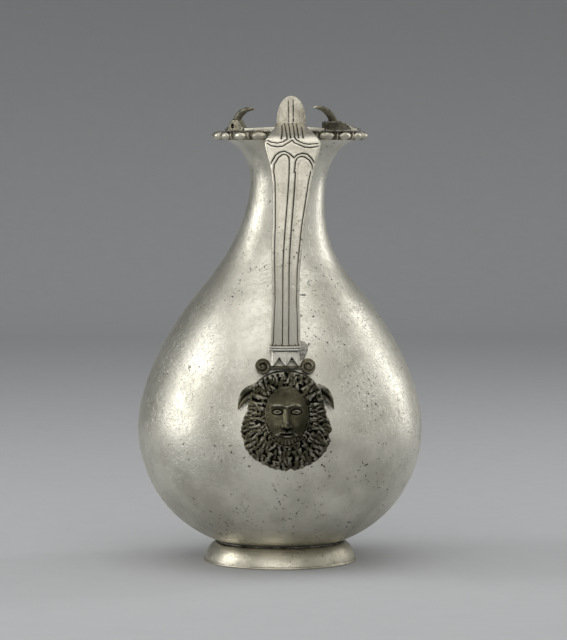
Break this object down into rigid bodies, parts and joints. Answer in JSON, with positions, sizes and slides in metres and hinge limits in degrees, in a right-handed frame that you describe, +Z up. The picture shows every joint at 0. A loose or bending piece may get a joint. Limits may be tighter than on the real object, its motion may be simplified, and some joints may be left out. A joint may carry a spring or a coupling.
{
  "type": "oinochoe",
  "caption": "Tall silver jug with a pear-shaped body, slender neck, lobed pouring mouth, ring foot and a strap handle ending in a bearded mask.",
  "frame": {"origin": "middle of the footprint of the whole piece, on the surface that it stands on", "axes": "+Z up along the vessel's axis, +Y towards the spout, the handle and mask on the -Y side"},
  "size_m": [0.1378, 0.1478, 0.2251],
  "materials": {
    "silver": "worn satin silver",
    "cast_silver": "worn cast silver",
    "tarnished_silver": "tarnished cast silver",
    "dark_patina": "dark olive-brown patina with worn highlights",
    "solder": "dull grey solder"
  },
  "bodies": {
    "root": {"vessel_body": "silver", "rim_moulding": "silver", "foot_ring": "silver", "handle_strap": "cast_silver", "thumb_rest": "cast_silver", "finial_left": "tarnished_silver", "finial_right": "tarnished_silver", "handle_socket": "tarnished_silver", "volute_plate": "dark_patina", "mask": "dark_patina", "foot_solder": "solder", "rim_solder": "solder", "socket_solder": "solder", "mask_solder": "solder"}
  },
  "joints": []
}
